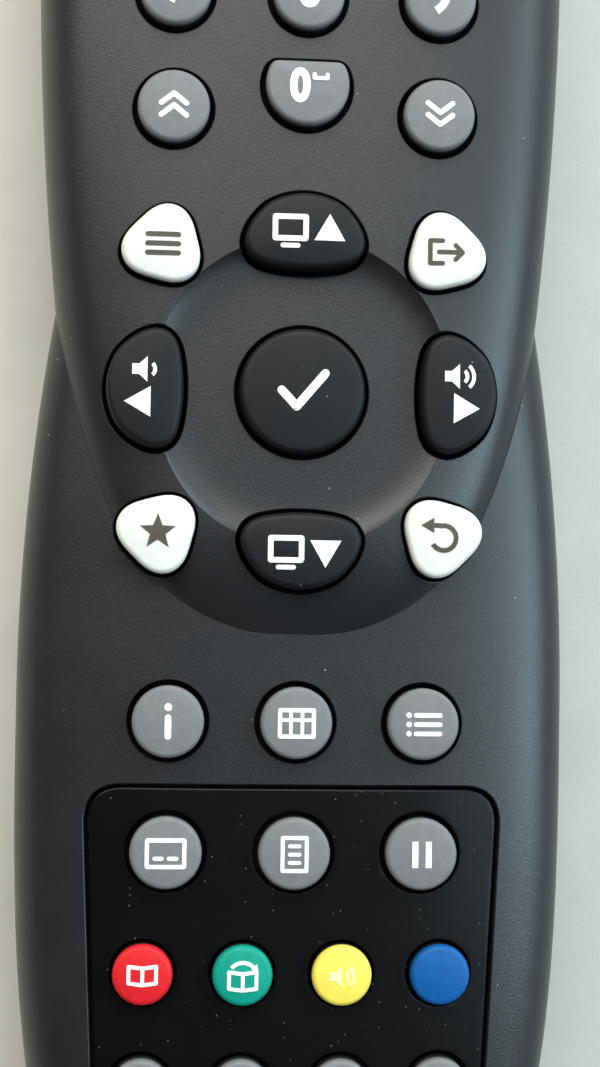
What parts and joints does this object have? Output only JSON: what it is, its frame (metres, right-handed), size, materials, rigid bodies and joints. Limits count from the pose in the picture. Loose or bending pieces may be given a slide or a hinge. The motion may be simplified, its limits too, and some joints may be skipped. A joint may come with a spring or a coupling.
{
  "type": "remote control",
  "caption": "Handheld infrared remote control: hourglass housing, sprung rubber keys round a shallow thumb dish, inset lower key plate and sliding battery door.",
  "frame": {"origin": "centre of the outline's box, on the sole that the remote lies on", "axes": "+Y towards the infrared end, +Z out of the keys, +X to the right as the keys are read"},
  "size_m": [0.0522, 0.174, 0.024],
  "materials": {
    "housing": "fine satin grain",
    "panel": "semi-gloss",
    "grey_key": "soft matte",
    "white_key": "soft matte",
    "dark_key": "soft matte",
    "red_key": "soft satin",
    "green_key": "soft satin",
    "yellow_key": "soft satin",
    "blue_key": "soft satin",
    "mat": "matte",
    "board": "paper laminate",
    "window": "polished",
    "contact_metal": "nickel plated",
    "screw_steel": "zinc plated",
    "cell": "printed sleeve",
    "resin": "moulded resin",
    "ceramic": "dipped coat",
    "lens": "clear"
  },
  "bodies": {
    "housing": {"top_shell": "housing", "bottom_shell": "housing", "key_panel": "panel", "infrared_window": "window", "keypad_mat": "mat", "circuit_board": "board", "battery_1": "cell", "battery_2": "cell", "contact_spring_1": "contact_metal", "contact_spring_2": "contact_metal", "positive_contact": "contact_metal", "negative_contact": "contact_metal", "bridge_contact": "contact_metal", "housing_screw": "screw_steel", "infrared_led": "lens", "controller_chip": "resin", "ceramic_resonator": "ceramic", "capacitor": "resin", "transistor": "resin"},
    "power_key": {"power_key": "grey_key"},
    "mute_key": {"mute_key": "grey_key"},
    "digit_1_key": {"digit_1_key": "grey_key"},
    "digit_2_key": {"digit_2_key": "grey_key"},
    "digit_3_key": {"digit_3_key": "grey_key"},
    "digit_4_key": {"digit_4_key": "grey_key"},
    "digit_5_key": {"digit_5_key": "grey_key"},
    "digit_6_key": {"digit_6_key": "grey_key"},
    "digit_7_key": {"digit_7_key": "grey_key"},
    "digit_8_key": {"digit_8_key": "grey_key"},
    "digit_9_key": {"digit_9_key": "grey_key"},
    "page_up_key": {"page_up_key": "grey_key"},
    "digit_0_key": {"digit_0_key": "grey_key"},
    "page_down_key": {"page_down_key": "grey_key"},
    "menu_key": {"menu_key": "white_key"},
    "exit_key": {"exit_key": "white_key"},
    "favourite_key": {"favourite_key": "white_key"},
    "recall_key": {"recall_key": "white_key"},
    "channel_up_key": {"channel_up_key": "dark_key"},
    "channel_down_key": {"channel_down_key": "dark_key"},
    "volume_down_key": {"volume_down_key": "dark_key"},
    "volume_up_key": {"volume_up_key": "dark_key"},
    "ok_key": {"ok_key": "dark_key"},
    "info_key": {"info_key": "grey_key"},
    "guide_key": {"guide_key": "grey_key"},
    "list_key": {"list_key": "grey_key"},
    "subtitle_key": {"subtitle_key": "grey_key"},
    "text_key": {"text_key": "grey_key"},
    "pause_key": {"pause_key": "grey_key"},
    "red_key": {"red_key": "red_key"},
    "green_key": {"green_key": "green_key"},
    "yellow_key": {"yellow_key": "yellow_key"},
    "blue_key": {"blue_key": "blue_key"},
    "rewind_key": {"rewind_key": "grey_key"},
    "play_key": {"play_key": "grey_key"},
    "forward_key": {"forward_key": "grey_key"},
    "stop_key": {"stop_key": "grey_key"},
    "battery_door": {"battery_door": "housing"}
  },
  "joints": [
    {"name": "door_slide", "type": "slide", "parent": "housing", "child": "battery_door", "axis": [0, -1, 0], "range_m": [0, 0.068]},
    {"name": "power_press", "type": "slide", "parent": "housing", "child": "power_key", "axis": [0, 0, -1], "range_m": [0, 0.0008], "stiffness_N_per_m": 200},
    {"name": "mute_press", "type": "slide", "parent": "housing", "child": "mute_key", "axis": [0, 0, -1], "range_m": [0, 0.0008], "stiffness_N_per_m": 200},
    {"name": "digit_1_press", "type": "slide", "parent": "housing", "child": "digit_1_key", "axis": [0, 0, -1], "range_m": [0, 0.0008], "stiffness_N_per_m": 200},
    {"name": "digit_2_press", "type": "slide", "parent": "housing", "child": "digit_2_key", "axis": [0, 0, -1], "range_m": [0, 0.0008], "stiffness_N_per_m": 200},
    {"name": "digit_3_press", "type": "slide", "parent": "housing", "child": "digit_3_key", "axis": [0, 0, -1], "range_m": [0, 0.0008], "stiffness_N_per_m": 200},
    {"name": "digit_4_press", "type": "slide", "parent": "housing", "child": "digit_4_key", "axis": [0, 0, -1], "range_m": [0, 0.0008], "stiffness_N_per_m": 200},
    {"name": "digit_5_press", "type": "slide", "parent": "housing", "child": "digit_5_key", "axis": [0, 0, -1], "range_m": [0, 0.0008], "stiffness_N_per_m": 200},
    {"name": "digit_6_press", "type": "slide", "parent": "housing", "child": "digit_6_key", "axis": [0, 0, -1], "range_m": [0, 0.0008], "stiffness_N_per_m": 200},
    {"name": "digit_7_press", "type": "slide", "parent": "housing", "child": "digit_7_key", "axis": [0, 0, -1], "range_m": [0, 0.0008], "stiffness_N_per_m": 200},
    {"name": "digit_8_press", "type": "slide", "parent": "housing", "child": "digit_8_key", "axis": [0, 0, -1], "range_m": [0, 0.0008], "stiffness_N_per_m": 200},
    {"name": "digit_9_press", "type": "slide", "parent": "housing", "child": "digit_9_key", "axis": [0, 0, -1], "range_m": [0, 0.0008], "stiffness_N_per_m": 200},
    {"name": "page_up_press", "type": "slide", "parent": "housing", "child": "page_up_key", "axis": [0, 0, -1], "range_m": [0, 0.0008], "stiffness_N_per_m": 200},
    {"name": "digit_0_press", "type": "slide", "parent": "housing", "child": "digit_0_key", "axis": [0, 0, -1], "range_m": [0, 0.0008], "stiffness_N_per_m": 200},
    {"name": "page_down_press", "type": "slide", "parent": "housing", "child": "page_down_key", "axis": [0, 0, -1], "range_m": [0, 0.0008], "stiffness_N_per_m": 200},
    {"name": "menu_press", "type": "slide", "parent": "housing", "child": "menu_key", "axis": [0, 0, -1], "range_m": [0, 0.0008], "stiffness_N_per_m": 200},
    {"name": "exit_press", "type": "slide", "parent": "housing", "child": "exit_key", "axis": [0, 0, -1], "range_m": [0, 0.0008], "stiffness_N_per_m": 200},
    {"name": "favourite_press", "type": "slide", "parent": "housing", "child": "favourite_key", "axis": [0, 0, -1], "range_m": [0, 0.0008], "stiffness_N_per_m": 200},
    {"name": "recall_press", "type": "slide", "parent": "housing", "child": "recall_key", "axis": [0, 0, -1], "range_m": [0, 0.0008], "stiffness_N_per_m": 200},
    {"name": "channel_up_press", "type": "slide", "parent": "housing", "child": "channel_up_key", "axis": [0, 0, -1], "range_m": [0, 0.0008], "stiffness_N_per_m": 200},
    {"name": "channel_down_press", "type": "slide", "parent": "housing", "child": "channel_down_key", "axis": [0, 0, -1], "range_m": [0, 0.0008], "stiffness_N_per_m": 200},
    {"name": "volume_down_press", "type": "slide", "parent": "housing", "child": "volume_down_key", "axis": [0, 0, -1], "range_m": [0, 0.0008], "stiffness_N_per_m": 200},
    {"name": "volume_up_press", "type": "slide", "parent": "housing", "child": "volume_up_key", "axis": [0, 0, -1], "range_m": [0, 0.0008], "stiffness_N_per_m": 200},
    {"name": "ok_press", "type": "slide", "parent": "housing", "child": "ok_key", "axis": [0, 0, -1], "range_m": [0, 0.0008], "stiffness_N_per_m": 200},
    {"name": "info_press", "type": "slide", "parent": "housing", "child": "info_key", "axis": [0, 0, -1], "range_m": [0, 0.0008], "stiffness_N_per_m": 200},
    {"name": "guide_press", "type": "slide", "parent": "housing", "child": "guide_key", "axis": [0, 0, -1], "range_m": [0, 0.0008], "stiffness_N_per_m": 200},
    {"name": "list_press", "type": "slide", "parent": "housing", "child": "list_key", "axis": [0, 0, -1], "range_m": [0, 0.0008], "stiffness_N_per_m": 200},
    {"name": "subtitle_press", "type": "slide", "parent": "housing", "child": "subtitle_key", "axis": [0, 0, -1], "range_m": [0, 0.0008], "stiffness_N_per_m": 200},
    {"name": "text_press", "type": "slide", "parent": "housing", "child": "text_key", "axis": [0, 0, -1], "range_m": [0, 0.0008], "stiffness_N_per_m": 200},
    {"name": "pause_press", "type": "slide", "parent": "housing", "child": "pause_key", "axis": [0, 0, -1], "range_m": [0, 0.0008], "stiffness_N_per_m": 200},
    {"name": "red_press", "type": "slide", "parent": "housing", "child": "red_key", "axis": [0, 0, -1], "range_m": [0, 0.0008], "stiffness_N_per_m": 200},
    {"name": "green_press", "type": "slide", "parent": "housing", "child": "green_key", "axis": [0, 0, -1], "range_m": [0, 0.0008], "stiffness_N_per_m": 200},
    {"name": "yellow_press", "type": "slide", "parent": "housing", "child": "yellow_key", "axis": [0, 0, -1], "range_m": [0, 0.0008], "stiffness_N_per_m": 200},
    {"name": "blue_press", "type": "slide", "parent": "housing", "child": "blue_key", "axis": [0, 0, -1], "range_m": [0, 0.0008], "stiffness_N_per_m": 200},
    {"name": "rewind_press", "type": "slide", "parent": "housing", "child": "rewind_key", "axis": [0, 0, -1], "range_m": [0, 0.0008], "stiffness_N_per_m": 200},
    {"name": "play_press", "type": "slide", "parent": "housing", "child": "play_key", "axis": [0, 0, -1], "range_m": [0, 0.0008], "stiffness_N_per_m": 200},
    {"name": "forward_press", "type": "slide", "parent": "housing", "child": "forward_key", "axis": [0, 0, -1], "range_m": [0, 0.0008], "stiffness_N_per_m": 200},
    {"name": "stop_press", "type": "slide", "parent": "housing", "child": "stop_key", "axis": [0, 0, -1], "range_m": [0, 0.0008], "stiffness_N_per_m": 200}
  ]
}
